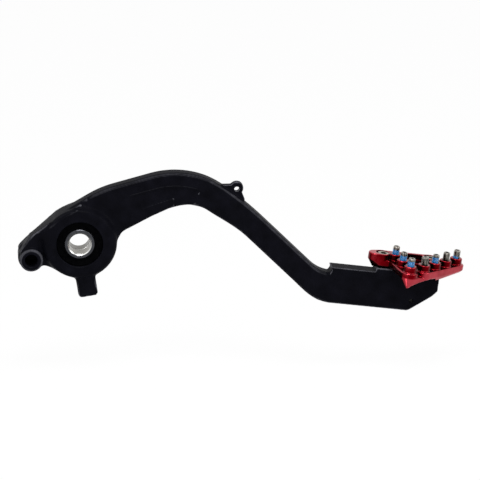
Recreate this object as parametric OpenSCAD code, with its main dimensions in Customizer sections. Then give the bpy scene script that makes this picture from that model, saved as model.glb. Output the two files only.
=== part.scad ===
// Rear brake pedal for an off-road motorcycle: a forged arm that swings on a fixed pivot
// collar, with a bolted tip that carries screw-in grip studs.
// +X points forwards to the tip, -Y points outboard to the rider's boot, +Z points up.
// The origin is the middle of the pivot bore. Lengths are in millimetres.

/* [Pivot hub] */
// Outer radius of the hub
hub_r = 25.1; // [23:0.1:28]
// Reach of the hub rim outboard of the arm's middle plane
hub_out = 12.3; // [11.4:0.1:14]
// Reach of the hub's full diameter inboard of the middle plane
hub_in = 7; // [6.6:0.1:7.6]
// Radius of the stepped boss on the inboard face
rear_boss_r = 20.4; // [18.6:0.1:22]
// Inboard reach of the stepped boss
rear_boss_in = 10.2; // [9.6:0.1:10.6]
// Rounding of the hub's outboard edge
hub_edge = 3.4; // [1.5:0.1:4]
// Depth of the dished ring between the rim and the seal pocket
dish_depth = 0.9; // [0.4:0.1:1.6]
// Radius of the fillet that blends the hub into the arm's face
blend_r = 4.4; // [3:0.1:5]

/* [Pivot collar] */
// Bore of the collar, for the frame's pivot bolt
collar_bore = 15; // [12:0.1:16]
// Outer diameter of the collar
collar_od = 21; // [19:0.1:21.4]
// Reach of the collar outboard of the middle plane
collar_out = 10.5; // [10.2:0.1:11.4]
// Reach of the collar inboard of the middle plane
collar_in = 10.9; // [10.4:0.1:12]
// Chamfer at both ends of the collar's bore
collar_chamfer = 0.5; // [0.2:0.1:0.8]

/* [Seals and needle bearing] */
// Outer diameter of the dust seals
seal_od = 32.4; // [31:0.1:34]
// Width of the dust seals
seal_w = 4; // [3:0.1:4.2]
// Diameter of a needle roller
needle_d = 2; // [1.6:0.1:2.4]
// Length of a needle roller
needle_len = 8.4; // [7:0.1:8.6]
// Number of needle rollers
needle_count = 16; // [12:1:18]
// Wall of the drawn bearing cup
cup_wall = 0.9; // [0.7:0.1:1.2]
// Length of the bearing cup
cup_len = 11.6; // [11:0.1:11.8]

/* [Arm] */
// Thickness of the arm
arm_t = 12.5; // [11:0.1:13]
// Rounding of the arm's long edges
edge_r = 2.5; // [1.5:0.1:3.5]
// Angle at which the arm's top edge leaves the hub
rise_angle = 29.7; // [26:0.1:32]
// Straight length of the top edge from the hub
rise_len = 22; // [18:0.5:28]
// Turn of the neck bend
neck_turn = 15.3; // [12:0.1:20]
// Radius of the neck bend
neck_r = 72; // [50:1:90]
// Nearly straight length between the neck and the crown
span_len = 26.8; // [18:0.2:34]
// Turn of the crown bend
crown_turn = 49.7; // [42:0.1:54]
// Radius of the crown bend along the top edge
crown_r = 61.3; // [50:0.1:70]
// Turn of the shoulder bend below the crown
shoulder_turn = 9.2; // [5:0.1:12]
// Radius of the shoulder bend
shoulder_r = 228; // [180:1:300]
// Straight length of the leg
leg_len = 46.2; // [36:0.2:56]
// Radius of the knee bend along the top edge
knee_r = 26.2; // [20:0.1:32]
// Depth of the arm where it leaves the hub
root_depth = 26; // [22:0.5:30]
// Depth of the arm at the neck
neck_depth = 32; // [28:0.5:34]
// Depth of the arm where the crown begins
crown_depth = 27; // [23:0.5:30]
// Depth of the arm where the crown ends
shoulder_depth = 20.4; // [18:0.1:23]
// Depth of the leg
leg_depth = 17.6; // [15:0.1:20]
// Depth of the arm at the end of the knee
knee_depth = 21.9; // [19:0.1:24]
// Outboard offset of the tip seat from the hub
toe_out = 9.8; // [6:0.1:14]
// Height of the flange left above the pocket in the outboard face
flange_h = 9; // [7:0.1:11]
// Depth of that pocket
pocket_depth = 1.4; // [0.6:0.1:2]

/* [Tip seat] */
// Downward pitch of the tip seat
seat_pitch = 8; // [5:0.5:11]
// Length of the seat block
seat_len = 76.8; // [72:0.2:82]
// Height of the step at the rear of the seat block
seat_step = 3.8; // [2.5:0.1:4.5]
// Thickness of the seat block
seat_t = 12; // [11.4:0.1:13]
// Length of the sloping cut under the nose
nose_len = 18.6; // [15:0.2:22]
// Height of the blunt end face
nose_h = 10; // [8:0.1:12]
// Height of the raised pad that the tip sits on
pad_h = 3.8; // [2:0.1:5]
// Start of the raised pad behind the rear screw
pad_rear = 3.4; // [2.8:0.1:5]
// Diameter of the lanyard hole low in the seat block
lanyard_d = 3.2; // [2.5:0.1:4]

// Height of the lanyard hole above the bottom of the seat block
lanyard_up = 7.6; // [6:0.1:9]

/* [Push-rod boss] */
// Distance from the pivot to the push-rod boss
rod_reach = 35.4; // [33.5:0.1:39]
// Angle of the boss behind and below the pivot
rod_angle = 197; // [192:0.5:202]
// Outer radius of the boss
rod_boss_r = 7.3; // [6.6:0.1:8.2]
// Radius of the web round the boss
rod_web_r = 9.2; // [8:0.1:10]
// Blind bore of the boss, for the push-rod pin
rod_bore = 9; // [6:0.1:10]
// Depth of that bore
rod_bore_depth = 17; // [10:0.5:19]
// Outboard reach of the boss
rod_out = 13; // [9:0.1:14]
// Inboard reach of the boss
rod_in = 10.6; // [9.4:0.1:12]

/* [Stop tab and spring lug] */
// Lean of the stop tab towards the front
tab_lean = 7.9; // [5:0.1:15]
// Width of the stop tab
tab_w = 13.8; // [10:0.1:15]
// Radius from the pivot to the end of the tab
tab_end = 39.7; // [34:0.1:43]
// Thickness of the stop tab
tab_t = 11; // [8:0.1:12]
// Offset of the stop tab's middle plane outboard
tab_off = 3; // [1:0.1:3.6]
// Distance of the spring lug past the end of the crown
lug_at = 8.5; // [4:0.1:14]
// Height of the lug's hole above the arm's top edge
lug_rise = 3.9; // [3.4:0.1:5]
// Outer radius of the lug
lug_r = 3.9; // [3.4:0.1:4.6]
// Diameter of the lug's hole
lug_hole = 3.8; // [3:0.1:4.4]
// Thickness of the lug
lug_t = 4.6; // [3.5:0.1:6]

/* [Brake tip] */
// Distance from the front of the seat back to the front screw
screw_from_end = 8.1; // [6.5:0.1:9]
// Spacing of the two tip screws
screw_pitch = 34.4; // [32:0.1:37]
// Thickness of the tip's frame
tip_t = 6; // [4.5:0.1:6.5]
// Height of the stud and screw bosses above the frame
boss_h = 4.4; // [3.6:0.1:6]
// Radius of the stud bosses
boss_r = 4.4; // [4:0.1:4.8]
// Half width of the tip's bars
bar_r = 6.1; // [5:0.1:6.4]
// Chamfer round the underside of the tip
tip_chamfer = 2.2; // [1.2:0.1:2.6]
// Distance from the screw line out to the stud at the corner
corner_out = 26; // [24:0.2:30]
// Distance from the rear screw forwards to the stud at the corner
corner_ahead = 15.9; // [13:0.1:19]
// Outboard distance from the screw line to the first stud of the rear row
rear_row_out = 0.4; // [0:0.1:3]
// Distance from the rear screw forwards to that stud
rear_row_ahead = 9.4; // [9:0.1:10.4]
// Distance from the rear screw forwards to the last stud
front_row_end = 54.5; // [50:0.1:60]
// Inboard distance from the screw line to the last stud
front_row_in = 5; // [3:0.1:7]
// Distance from the rear screw forwards to the first stud of the front row
front_row_start = 26.9; // [26:0.1:29]
// Outboard distance from the screw line to the first stud of the front row
front_row_out = 19.3; // [18:0.1:21]
// Reach of the pointed keel beyond the corner stud
keel_reach = 7.6; // [6.6:0.1:9]
// Height of the keel's point above the seat's top
keel_up = 0.1; // [-1:0.1:2]

/* [Screws and studs] */
// Thread diameter of the tip screws
screw_d = 5; // [4:0.1:5.4]
// Length of the tip screws under the head
screw_len = 16; // [12:0.5:18]
// Diameter of the screw heads
head_d = 8.5; // [7.6:0.1:9]
// Height of the screw heads
head_h = 5; // [4:0.1:5.4]
// Depth of the screw heads below the top of their bosses
head_sunk = 0.4; // [0.2:0.1:1.6]
// Width across the flats of the screw's socket
head_af = 4; // [3:0.1:4.4]
// Thread diameter of the grip studs
stud_d = 5; // [4:0.1:5.4]
// Height that the studs stand above their bosses
stud_proud = 5.6; // [4:0.1:8]
// Width across the flats of the stud's socket
stud_af = 2.5; // [2:0.1:2.8]

/* [Hidden] */
$fn = 64;

// Running clearance between parts that turn on each other
run = 0.03;
// Clearance round a part that is pressed or screwed in
press = 0.02;
// Play round a screw shank, a screw head and the needle cage
play = 0.25;

// Arm: lengths and turns of the top edge's segments, from the hub to the end of the knee
leg_angle = rise_angle - neck_turn - crown_turn - shoulder_turn;
knee_turn = -seat_pitch - leg_angle;
function arc_len(r, turn) = r * turn * PI / 180;
seg_turn = [0, -neck_turn, 0, -crown_turn, -shoulder_turn, 0, knee_turn];
seg_len = [rise_len, arc_len(neck_r, neck_turn), span_len, arc_len(crown_r, crown_turn),
    arc_len(shoulder_r, shoulder_turn), leg_len, arc_len(knee_r, knee_turn)];
seg_steps = [4, 6, 5, 18, 8, 6, 9];
seg_depth = [root_depth, neck_depth, neck_depth, crown_depth, shoulder_depth, leg_depth,
    leg_depth, knee_depth];
segments = ["rise", "neck", "span", "crown", "shoulder", "leg", "knee"];
CROWN = search(["crown"], segments)[0];
SHOULDER = search(["shoulder"], segments)[0];
KNEE = search(["knee"], segments)[0];

// The top edge starts just under the hub's surface, where it would touch the hub
hub_sink = 0.45;
edge_start = (hub_r - hub_sink) * [-sin(rise_angle), cos(rise_angle)];

function unit(a) = [cos(a), sin(a)];
function normal(a) = [-sin(a), cos(a)];
function smooth(f) = let (g = min(max(f, 0), 1)) g * g * (3 - 2 * g);
function arc_step(p, a, length, turn, f) = turn == 0
    ? p + length * f * unit(a)
    : let (r = length / turn * 180 / PI, b = a + turn * f)
        p + r * [sin(b) - sin(a), cos(a) - cos(b)];
function seg_angle(i) = i == 0 ? rise_angle : seg_angle(i - 1) + seg_turn[i - 1];
function seg_start(i) = i == 0 ? edge_start : edge_point(i - 1, 1);
function edge_point(i, f) = arc_step(seg_start(i), seg_angle(i), seg_len[i], seg_turn[i], f);
function edge_angle(i, f) = seg_angle(i) + seg_turn[i] * f;
function edge_depth(i, f) = seg_depth[i] + (seg_depth[i + 1] - seg_depth[i]) * smooth(f);

// The leg toes out in a straight line from a kink late in the crown to the knee
kink_f = 0.75;
kink_x = edge_point(CROWN, kink_f)[0];
toe_x = edge_point(KNEE, 0.3)[0];
function toe(x) = -toe_out * min(max((x - kink_x) / (toe_x - kink_x), 0), 1);

// The pocket fades in past the hub and runs out just before the kink
pocket_fade = 14;
pocket_runout = 5;
function pocket(x) = pocket_depth * smooth((x - hub_r) / pocket_fade)
    * (1 - smooth((x - kink_x + pocket_runout) / pocket_runout));

// Seat: places along the block from the end of the knee, heights from the seat's top face
seat_angle = -seat_pitch;
seat_edge = edge_point(KNEE, 1);
seat_origin = seat_edge + seat_step * normal(seat_angle);
seat_edge_r = 1.2;
step_f = 0.88;
seat_depth = knee_depth + seat_step;

// One station is a point on the top edge, an angle, the section's top and bottom measured
// from that edge, its thickness and its edge rounding
function arm_station(i, f) = [edge_point(i, f), edge_angle(i, f), 0, -edge_depth(i, f), arm_t, edge_r];
function seat_station(s, top, bottom, inset) = [seat_edge + s * unit(seat_angle), seat_angle,
    top - inset, bottom + inset, seat_t - 2 * inset, seat_edge_r];
nose_start = seat_len - nose_len;
nose_bottom = seat_step - nose_h;
end_round = 1;
stations = [
    for (i = [0:KNEE - 1], k = [0:seg_steps[i] - 1]) arm_station(i, k / seg_steps[i]),
    for (k = [0:seg_steps[KNEE] - 2]) arm_station(KNEE, step_f * k / (seg_steps[KNEE] - 2)),
    seat_station(0, seat_step, -knee_depth, 0),
    seat_station(nose_start - end_round, seat_step, -knee_depth, 0),
    seat_station(nose_start + end_round, seat_step, -knee_depth + end_round, 0),
    seat_station(seat_len - end_round, seat_step, nose_bottom - end_round, 0),
    seat_station(seat_len, seat_step, nose_bottom, end_round)
];

// Rounded section in the plane across the arm, as [offset inboard, height from the edge]
corner_steps = 4;
function corner(cy, cn, r, a) = [for (k = [0:corner_steps])
    [cy + r * cos(a + 90 * k / corner_steps), cn + r * sin(a + 90 * k / corner_steps)]];
function section(top, bottom, t, r, cut) = let (flange = min(flange_h, (top - bottom) / 2)) concat(
    corner(t / 2 - r, top - r, r, 0),
    corner(-t / 2 + r, top - r, r, 90),
    [[-t / 2, top - flange], [-t / 2 + cut, top - flange - cut * 1.3 - 0.1]],
    corner(-t / 2 + r + cut, bottom + r, r, 180),
    corner(t / 2 - r, bottom + r, r, 270));
function place(st, p) = let (q = st[0] + p[1] * normal(st[1])) [q[0], p[0] + toe(q[0]), q[1]];
function ring(st) = [for (p = section(st[2], st[3], st[4], st[5], pocket(st[0][0]))) place(st, p)];

// Placement helpers
module outboard() {
    rotate([90, 0, 0]) children();
}
module on_seat() {
    translate([seat_origin[0], -toe_out, seat_origin[1]]) rotate([0, seat_pitch, 0]) children();
}

// Beam: one skin lofted through all the stations, each end closed round a middle point
function middle(st) = place(st, [0, (st[2] + st[3]) / 2]);
module arm_beam() {
    rings = [for (st = stations) ring(st)];
    n = len(rings[0]);
    m = len(rings);
    points = concat([for (r = rings) each r], [middle(stations[0]), middle(stations[m - 1])]);
    sides = [for (i = [0:m - 2], j = [0:n - 1]) let (a = i * n + j, b = i * n + (j + 1) % n)
        each [[a, b + n, b], [a, a + n, b + n]]];
    start_cap = [for (j = [0:n - 1]) [m * n, j, (j + 1) % n]];
    end_cap = [for (j = [0:n - 1]) [m * n + 1, (m - 1) * n + (j + 1) % n, (m - 1) * n + j]];
    polyhedron(points, concat(sides, start_cap, end_cap), convexity = 6);
}

// Needle bearing radii, from the collar outwards
collar_r = collar_od / 2;
needle_pitch_r = collar_r + run + needle_d / 2;
cup_bore_r = needle_pitch_r + needle_d / 2 + run;
cup_r = cup_bore_r + cup_wall;
seal_r = seal_od / 2;
seal_sunk = 0.3;
outer_seal_floor = collar_out - seal_sunk - seal_w;
inner_seal_floor = rear_boss_in - seal_sunk - seal_w;

module hub_body() {
    rim_r = seal_r + press + 1;
    land_r = hub_r - hub_edge - 1;
    outboard() rotate_extrude() polygon(concat(
        [[0, -rear_boss_in], [rear_boss_r - 0.8, -rear_boss_in], [rear_boss_r, -rear_boss_in + 0.8],
            [rear_boss_r, -hub_in], [hub_r - 1, -hub_in], [hub_r, -hub_in + 1]],
        [for (k = [0:6]) [hub_r - hub_edge + hub_edge * cos(15 * k), hub_out - hub_edge + hub_edge * sin(15 * k)]],
        [[land_r, hub_out], [rim_r + 1, hub_out - dish_depth], [rim_r, hub_out - dish_depth / 2],
            [rim_r - 1, hub_out - dish_depth / 2], [0, hub_out - dish_depth / 2]]));
}

// Concave fillet round the hub, kept to the face it blends into
module hub_fillet(face) {
    rotate_extrude() polygon(concat(
        [[hub_r - 2, face - 1], [hub_r + blend_r, face - 1]],
        [for (k = [0:6]) [hub_r + blend_r - blend_r * sin(15 * k), face + blend_r - blend_r * cos(15 * k)]],
        [[hub_r - 2, face + blend_r]]));
}
module hub_blend() {
    face = arm_t / 2;
    outboard() intersection() {
        hub_fillet(face);
        linear_extrude(face + blend_r) polygon([
            edge_point(0, 0) - 2 * normal(rise_angle),
            edge_point(0, 1) - 2 * normal(rise_angle),
            edge_point(1, 1) - 2 * normal(edge_angle(1, 1)),
            edge_point(1, 1) - (neck_depth - 2) * normal(edge_angle(1, 1)),
            edge_point(0, 1) - (neck_depth - 2) * normal(rise_angle)]);
    }
}

rod_at = rod_reach * unit(rod_angle);
web_r = hub_r - 1.6;
web_out = arm_t / 2 - 0.6;
web_in = rod_in - 1;
web_waist = 6;
// Direction from the pivot to the place where the web's lower edge leaves the hub
web_low_angle = 250;
module heel_web() {
    outboard() translate([0, 0, -web_in]) linear_extrude(web_in + web_out)
        offset(r = -web_waist) offset(delta = web_waist) {
            circle(web_r);
            translate(rod_at) circle(rod_web_r);
            polygon([[0, web_r], web_r * normal(rise_angle + 12),
                rod_at + rod_web_r * normal(rise_angle + 14), rod_at,
                rod_at + (rod_web_r - 1.9) * unit(web_low_angle + 35), (hub_r + 0.8) * unit(web_low_angle), [0, 0]]);
        }
    outboard() intersection() {
        hub_fillet(web_out);
        linear_extrude(web_out + blend_r) polygon([[0, 0], (web_r - 2) * normal(rise_angle + 6),
            rod_at + (rod_web_r - 2.4) * normal(rise_angle + 14), rod_at,
            rod_at + (rod_web_r - 3.4) * unit(web_low_angle + 35), (hub_r - 2) * unit(web_low_angle - 3)]);
    }
}

// Concave fillet under the arm where its lower edge meets the hub
root_fillet = 11;
root_f = 0.9;
module arm_root() {
    low = edge_point(0, root_f) - edge_depth(0, root_f) * normal(rise_angle);
    next = edge_point(1, 0.5) - edge_depth(1, 0.5) * normal(edge_angle(1, 0.5));
    u = (next - low) / norm(next - low);
    up = [-u[1], u[0]];
    p = low - root_fillet * up;
    t = -(p * u) + sqrt((p * u) * (p * u) - p * p + (hub_r + root_fillet) * (hub_r + root_fillet));
    c = p + t * u;
    core = arm_t - 2;
    outboard() translate([0, 0, -core / 2]) linear_extrude(core) difference() {
        polygon([c * (hub_r - 2) / norm(c), c, c + (root_fillet + 1.5) * up, low + 1.5 * up, (hub_r - 9) * u]);
        translate(c) circle(root_fillet);
    }
}

module rod_boss() {
    translate([rod_at[0], 0, rod_at[1]]) outboard() rotate_extrude()
        polygon([[0, -rod_in], [rod_boss_r - 0.6, -rod_in], [rod_boss_r, -rod_in + 0.6],
            [rod_boss_r, rod_out - 1], [rod_boss_r - 1, rod_out], [0, rod_out]]);
}

module stop_tab() {
    fillet = 5;
    outboard() translate([0, 0, -tab_t / 2 + tab_off]) linear_extrude(tab_t) rotate(tab_lean)
        difference() {
            offset(r = -fillet) offset(delta = fillet) {
                circle(hub_r - 0.5);
                translate([-tab_w / 2, -tab_end]) square([tab_w, tab_end]);
            }
            for (side = [-1, 1]) translate([side * tab_w / 2, -tab_end]) rotate(45)
                square(2.2, center = true);
        }
}

lug_f = lug_at / seg_len[SHOULDER];
lug_centre = edge_point(SHOULDER, lug_f) + lug_rise * normal(edge_angle(SHOULDER, lug_f));
lug_y = toe(lug_centre[0]);
module spring_lug() {
    angle = edge_angle(SHOULDER, lug_f);
    foot = 6.5;
    side = lug_r - 0.15;
    translate([lug_centre[0], lug_y, lug_centre[1]]) outboard() rotate(angle)
        translate([0, 0, -lug_t / 2]) linear_extrude(lug_t) difference() {
            union() {
                circle(lug_r);
                polygon([[-side, 0.5], [side, 0.5], [side, -lug_rise + 2], [foot, -lug_rise - 0.6],
                    [foot, -lug_rise - 4], [-foot - 2, -lug_rise - 4], [-foot - 2, -lug_rise + 0.4],
                    [-side, -lug_rise + 3]]);
            }
            circle(lug_hole / 2);
        }
}

screw_front_at = seat_len - screw_from_end;
screw_rear_at = screw_front_at - screw_pitch;
pad_start = screw_rear_at - pad_rear;
pad_inset = 0.3;
module seat_pad() {
    slope = 1;
    on_seat() outboard() translate([0, 0, -seat_t / 2 + pad_inset]) linear_extrude(seat_t - 2 * pad_inset)
        polygon([[pad_start - slope, -1.5], [pad_start, pad_h], [seat_len - 2, pad_h], [seat_len - 0.6, -1.5]]);
}

// Tip heights above the seat's top face
tip_bottom = pad_h;
frame_top = tip_bottom + tip_t;
boss_top = frame_top + boss_h;
head_seat = boss_top - head_sunk - head_h;
screw_end = head_seat - screw_len;
screw_at = [[screw_rear_at, 0], [screw_front_at, 0]];
tapped_extra = 1.5;

rod_mouth = 0.6;
module arm() {
    lanyard_at = [nose_start + 1, lanyard_up - seat_depth];
    color([0.07, 0.07, 0.085]) difference() {
        union() {
            arm_beam();
            hub_body();
            hub_blend();
            heel_web();
            arm_root();
            rod_boss();
            stop_tab();
            spring_lug();
            seat_pad();
        }
        // Bearing bore and the two seal pockets
        outboard() cylinder(h = 2 * hub_out, r = cup_r + press, center = true);
        outboard() translate([0, 0, outer_seal_floor]) cylinder(h = hub_out, r = seal_r + press);
        outboard() translate([0, 0, -inner_seal_floor - hub_out]) cylinder(h = hub_out, r = seal_r + press);
        // Push-rod pin bore with a chamfered mouth
        translate([rod_at[0], 0, rod_at[1]]) outboard() {
            translate([0, 0, rod_out - rod_bore_depth]) cylinder(h = 2 * rod_bore_depth, d = rod_bore);
            translate([0, 0, rod_out - rod_mouth]) cylinder(h = rod_mouth + 1,
                r1 = rod_bore / 2, r2 = rod_bore / 2 + rod_mouth + 1);
        }
        // Tapped holes for the tip screws, and the lanyard hole
        on_seat() for (p = screw_at) translate([p[0], p[1], screw_end - tapped_extra])
            cylinder(h = screw_len + pad_h + tip_t, d = screw_d + 2 * press);
        on_seat() translate([lanyard_at[0], 0, lanyard_at[1]]) outboard()
            cylinder(h = 2 * seat_t, d = lanyard_d, center = true);
    }
}

module pivot_collar() {
    c = collar_chamfer;
    bore_r = collar_bore / 2;
    color([0.75, 0.75, 0.77]) outboard() rotate_extrude() polygon([
        [bore_r, -collar_in + c], [bore_r + c, -collar_in], [collar_r - c, -collar_in],
        [collar_r, -collar_in + c], [collar_r, collar_out - c], [collar_r - c, collar_out],
        [bore_r + c, collar_out], [bore_r, collar_out - c]]);
}

// Dust seal with its lip on the collar and its flat back at z = 0
module dust_seal() {
    lip_r = collar_r + run;
    band = seal_r - lip_r;
    wall = 0.28 * band;
    color([0.03, 0.03, 0.03]) rotate_extrude() polygon([
        [lip_r, 0.15 * seal_w], [lip_r + 0.15 * band, 0], [seal_r, 0], [seal_r, 0.9 * seal_w],
        [seal_r - 0.1 * seal_w, seal_w], [seal_r - wall, seal_w],
        [seal_r - 1.4 * wall, 0.75 * seal_w], [lip_r + 1.1 * wall, 0.75 * seal_w],
        [lip_r + 0.6 * wall, 0.95 * seal_w], [lip_r, 0.87 * seal_w]]);
}
module outer_seal() {
    outboard() translate([0, 0, outer_seal_floor]) dust_seal();
}
module inner_seal() {
    outboard() translate([0, 0, -inner_seal_floor]) mirror([0, 0, 1]) dust_seal();
}

cup_lip = 0.6;
module bearing_cup() {
    half = cup_len / 2;
    lip_r = collar_r + 0.5;
    color([0.62, 0.62, 0.64]) outboard() rotate_extrude() polygon([
        [cup_r, -half], [cup_r, half], [lip_r, half], [lip_r, half - cup_lip],
        [cup_bore_r, half - cup_lip], [cup_bore_r, -half + cup_lip],
        [lip_r, -half + cup_lip], [lip_r, -half]]);
}

module bearing_cage() {
    cage_half = cup_len / 2 - cup_lip - play / 2;
    inner = needle_pitch_r - needle_d * 0.36;
    outer = needle_pitch_r + needle_d * 0.36;
    color([0.5, 0.45, 0.3]) outboard() difference() {
        rotate_extrude() polygon([[inner, -cage_half], [outer, -cage_half], [outer, cage_half], [inner, cage_half]]);
        for (k = [0:needle_count - 1]) rotate(360 * k / needle_count)
            translate([needle_pitch_r - needle_d, -needle_d / 2 - play / 4, -needle_len / 2 - play / 4])
                cube([2 * needle_d, needle_d + play / 2, needle_len + play / 2]);
    }
}

module bearing_needles() {
    color([0.8, 0.8, 0.82]) outboard() for (k = [0:needle_count - 1]) rotate(360 * k / needle_count)
        translate([needle_pitch_r, 0, 0]) cylinder(h = needle_len, d = needle_d, center = true, $fn = 32);
}

// Stud layout: the rear row runs out to the corner, the front row runs back to the screw line
corner_stud = [screw_rear_at + corner_ahead, -corner_out];
rear_row_first = [screw_rear_at + rear_row_ahead, -rear_row_out];
front_row_first = [screw_rear_at + front_row_start, -front_row_out];
front_row_last = [screw_rear_at + front_row_end, front_row_in];
REAR_STUDS = 3;
FRONT_STUDS = 4;
stud_at = concat(
    [for (k = [0:REAR_STUDS - 1]) rear_row_first + (corner_stud - rear_row_first) * k / (REAR_STUDS - 1)],
    [for (k = [0:FRONT_STUDS - 1]) front_row_first + (front_row_last - front_row_first) * k / (FRONT_STUDS - 1)]);
// Rounded end of the frame behind the rear screw, and the keel's point beyond the corner stud
heel_at = [screw_rear_at - 4.7, -0.8];
heel_r = 5.3;
keel_at = corner_stud + keel_reach * [-0.26, -0.97];
counterbore_r = head_d / 2 + play;
lobe_r = counterbore_r + 1.25;

// One foot of the frame: a disc with a broken top edge and a sloping cut under it
skirt_h = 2.6;
skirt_in = 0.9;
skirt_bottom = tip_bottom - 1.1;
// Height of the upright wall left above the keel, and the slope under the rear lobe
keel_drop = 2.7;
heel_in = 3.6;
heel_up = 5.4;
module tip_foot(p, r, bottom, top, cut_in, cut_h) {
    translate([p[0], p[1], 0]) rotate_extrude($fn = 32) polygon([[0, bottom], [r - cut_in, bottom],
        [r, bottom + cut_h], [r, top - 0.5], [r - 0.5, top], [0, top]]);
}
module low_foot(p, r) {
    tip_foot(p, r, tip_bottom, frame_top, tip_chamfer, tip_chamfer);
}
module skirt_foot(p) {
    tip_foot(p, bar_r, skirt_bottom, frame_top, skirt_in, skirt_h);
}

// Upright wall on the inboard side, from its near face
wall_t = 2.4;
wall_near = counterbore_r - 1.9;

module tip_boss(p, r) {
    translate([p[0], p[1], 0]) rotate_extrude() polygon([[0, frame_top - 2], [r, frame_top - 2],
        [r, boss_top - 0.5], [r - 0.5, boss_top], [0, boss_top]]);
}

module brake_tip() {
    color([0.65, 0.06, 0.08]) on_seat() difference() {
        union() {
            // Rear lobe, rear bar, keel under the corner, front bar and inboard bar
            hull() {
                tip_foot(heel_at, heel_r, tip_bottom, boss_top, heel_in, heel_up);
                tip_foot(screw_at[0], lobe_r, tip_bottom, boss_top, tip_chamfer, tip_chamfer);
            }
            hull() {
                low_foot(stud_at[0], bar_r);
                low_foot(corner_stud, bar_r);
            }
            hull() {
                tip_foot(corner_stud, bar_r, skirt_bottom + skirt_h, frame_top - keel_drop, 0.2, 0.2);
                tip_foot(stud_at[3], bar_r - skirt_in, skirt_bottom, skirt_bottom + skirt_h, 0.2, 0.2);
                translate([keel_at[0], keel_at[1], keel_up]) cylinder(h = 1, r = 0.5, $fn = 16);
            }
            hull() {
                skirt_foot(stud_at[3]);
                skirt_foot(stud_at[4]);
                low_foot(stud_at[6], bar_r);
            }
            hull() {
                low_foot(screw_at[0], lobe_r);
                low_foot(screw_at[1], lobe_r);
                low_foot(stud_at[6], bar_r - 0.6);
            }
            // Upright wall between the two screws
            translate([screw_at[0][0], wall_near, tip_bottom + 1])
                cube([screw_pitch, wall_t, boss_top - tip_bottom - 1]);
            tip_boss(screw_at[1], lobe_r);
            for (p = stud_at) tip_boss(p, boss_r);
        }
        for (p = screw_at) translate([p[0], p[1], 0]) {
            cylinder(h = 2 * boss_top, d = screw_d + 2 * play);
            translate([0, 0, head_seat]) cylinder(h = boss_top, r = counterbore_r);
        }
        for (p = stud_at) translate([p[0], p[1], 0]) cylinder(h = 2 * boss_top, d = stud_d + 2 * press);
        // Relief that lets the skirt hang over the edge of the seat pad
        translate([0, -seat_t / 2, skirt_bottom - 1])
            cube([seat_len + play, seat_t, tip_bottom - skirt_bottom + 1]);
    }
}

module tip_screw(p) {
    socket_depth = head_h * 0.5;
    color([0.78, 0.78, 0.8]) on_seat() translate([p[0], p[1], 0]) difference() {
        rotate_extrude() polygon([[0, screw_end], [screw_d / 2 - 0.6, screw_end], [screw_d / 2, screw_end + 0.6],
            [screw_d / 2, head_seat], [head_d / 2, head_seat], [head_d / 2, head_seat + head_h - 0.5],
            [head_d / 2 - 0.5, head_seat + head_h], [0, head_seat + head_h]]);
        translate([0, 0, head_seat + head_h - socket_depth])
            cylinder(h = head_h, d = head_af / cos(30), $fn = 6);
    }
}
module rear_tip_screw() {
    tip_screw(screw_at[0]);
}
module front_tip_screw() {
    tip_screw(screw_at[1]);
}

module stud(p) {
    top = boss_top + stud_proud;
    r = stud_d / 2;
    color([0.6, 0.6, 0.62]) on_seat() translate([p[0], p[1], 0]) difference() {
        rotate_extrude() polygon([[0, tip_bottom + 0.3], [r - 0.6, tip_bottom + 0.3], [r, tip_bottom + 0.9],
            [r, top - 0.5], [r - 0.5, top], [0, top]]);
        translate([0, 0, top - stud_d / 2]) cylinder(h = stud_d, d = stud_af / cos(30), $fn = 6);
    }
}
module stud_1() {
    stud(stud_at[0]);
}
module stud_2() {
    stud(stud_at[1]);
}
module stud_3() {
    stud(corner_stud);
}
module stud_4() {
    stud(front_row_first);
}
module stud_5() {
    stud(stud_at[4]);
}
module stud_6() {
    stud(stud_at[5]);
}
module stud_7() {
    stud(front_row_last);
}

arm();
pivot_collar();
outer_seal();
inner_seal();
bearing_cup();
bearing_cage();
bearing_needles();
brake_tip();
rear_tip_screw();
front_tip_screw();
stud_1();
stud_2();
stud_3();
stud_4();
stud_5();
stud_6();
stud_7();
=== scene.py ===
import bpy, bmesh, math
from mathutils import Matrix, Vector


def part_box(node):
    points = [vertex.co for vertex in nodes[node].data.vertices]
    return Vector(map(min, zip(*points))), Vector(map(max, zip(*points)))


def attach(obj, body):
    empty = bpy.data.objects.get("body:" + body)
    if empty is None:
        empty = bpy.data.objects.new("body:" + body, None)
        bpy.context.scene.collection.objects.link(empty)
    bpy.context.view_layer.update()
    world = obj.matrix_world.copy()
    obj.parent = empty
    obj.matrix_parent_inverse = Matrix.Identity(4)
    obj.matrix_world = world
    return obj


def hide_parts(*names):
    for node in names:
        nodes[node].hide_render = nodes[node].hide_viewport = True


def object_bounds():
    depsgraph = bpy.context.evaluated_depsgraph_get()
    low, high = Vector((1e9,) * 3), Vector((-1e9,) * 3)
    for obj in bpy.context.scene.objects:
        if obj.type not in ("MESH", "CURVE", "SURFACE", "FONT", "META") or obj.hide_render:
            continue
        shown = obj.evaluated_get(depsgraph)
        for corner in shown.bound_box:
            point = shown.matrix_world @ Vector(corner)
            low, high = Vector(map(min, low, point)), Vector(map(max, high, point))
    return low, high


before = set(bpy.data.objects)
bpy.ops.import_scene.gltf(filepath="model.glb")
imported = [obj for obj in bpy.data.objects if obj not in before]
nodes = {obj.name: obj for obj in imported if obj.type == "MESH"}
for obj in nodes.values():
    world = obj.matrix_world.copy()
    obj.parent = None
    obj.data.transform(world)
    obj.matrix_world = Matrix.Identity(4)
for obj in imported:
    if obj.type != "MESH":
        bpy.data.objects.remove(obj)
cadLow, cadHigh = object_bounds()
scene = bpy.context.scene
scene.view_settings.view_transform = "Standard"
mm = 0.001
print("frame loaded")


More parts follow.
